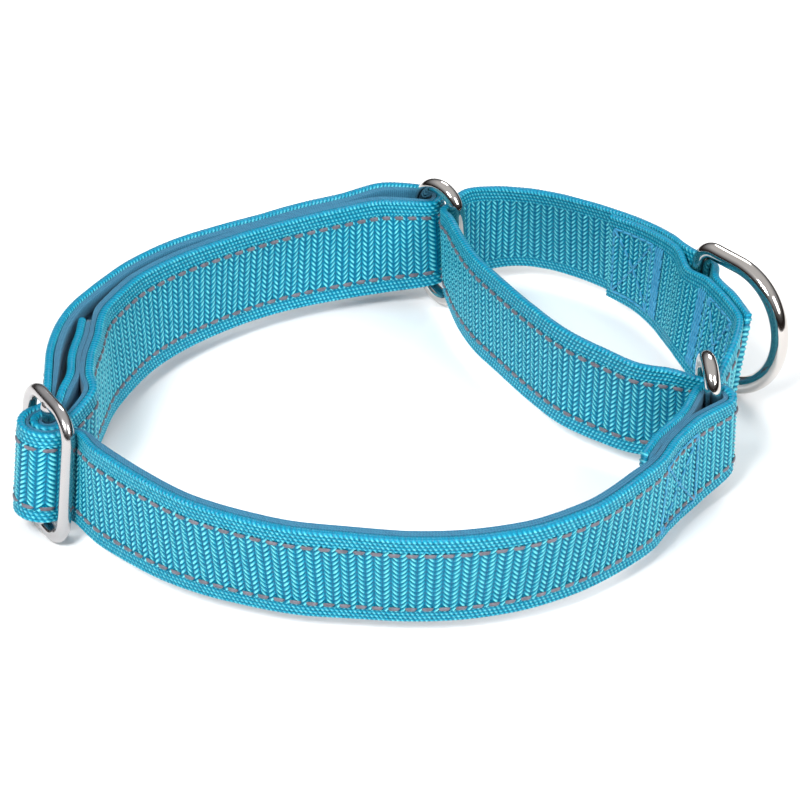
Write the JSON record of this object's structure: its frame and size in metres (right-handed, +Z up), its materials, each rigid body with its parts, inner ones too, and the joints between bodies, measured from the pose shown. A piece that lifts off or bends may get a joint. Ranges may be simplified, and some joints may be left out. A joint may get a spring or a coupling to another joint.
{
  "type": "martingale dog collar",
  "caption": "Padded webbing martingale collar standing on edge, with an adjustment slide, oval rings and a control loop that carries a D-shaped leash ring.",
  "frame": {"origin": "centre of the bounding box in plan, on the surface that the collar's rings stand on", "axes": "+X across the collar from the adjustment slide to the front ring and leash ring, +Z up, parallel to the webbing's width, +Y from the front of the strap to the back ring"},
  "size_m": [0.1678, 0.1568, 0.0336],
  "materials": {
    "turquoise_nylon": "ribbed woven webbing",
    "padding": "smooth soft backing",
    "reflective_thread": "grey reflective thread",
    "seam_thread": "turquoise polyester thread",
    "nickel": "bright nickel plate"
  },
  "bodies": {
    "collar": {"main_webbing": "turquoise_nylon", "main_padding": "padding", "strap_stitching_lower": "reflective_thread", "strap_stitching_upper": "reflective_thread", "front_fold_seam_near": "seam_thread", "front_fold_seam_far": "seam_thread", "slide_end_seam": "seam_thread"},
    "slide": {"slide": "nickel"},
    "back_ring": {"back_ring": "nickel"},
    "front_ring": {"front_ring": "nickel"},
    "control_loop": {"control_loop_webbing": "turquoise_nylon", "loop_stitching_lower": "reflective_thread", "loop_stitching_upper": "reflective_thread", "loop_end_seam_inner": "seam_thread", "pocket_seam_near": "seam_thread", "pocket_seam_far": "seam_thread", "loop_end_seam_outer": "seam_thread"},
    "leash_ring": {"leash_ring": "nickel"}
  },
  "joints": [
    {"name": "back_ring_pivot", "type": "hinge", "parent": "collar", "child": "back_ring", "pos_m": [0.00359, 0.069, 0.01658], "axis": [-0.04, 0, 0.9992], "range_deg": [-8, 8]},
    {"name": "front_ring_pivot", "type": "hinge", "parent": "collar", "child": "front_ring", "pos_m": [0.06434, -0.01815, 0.0163], "axis": [-0.02, -0.212, 0.9771], "range_deg": [-2.75, 2.75]},
    {"name": "loop_rock", "type": "hinge", "parent": "back_ring", "child": "control_loop", "pos_m": [0.01159, 0.06144, 0.01658], "axis": [-0.04, 0, 0.9992], "range_deg": [-9.4, 9.4]},
    {"name": "leash_ring_swing", "type": "hinge", "parent": "control_loop", "child": "leash_ring", "pos_m": [0.06399, 0.03555, 0.0165], "axis": [0.12, 0.012, 0.9927], "range_deg": [-8, 80]},
    {"name": "slide_rock", "type": "hinge", "parent": "collar", "child": "slide", "pos_m": [-0.07621, -0.031, 0.01654], "axis": [0.088, 0.008, 0.9961], "range_deg": [-3, 3]}
  ],
  "couplings": [
    {"joint": "front_ring_pivot", "follows": "back_ring_pivot", "ratio": 0.3313},
    {"joint": "loop_rock", "follows": "back_ring_pivot", "ratio": -1.1628}
  ]
}
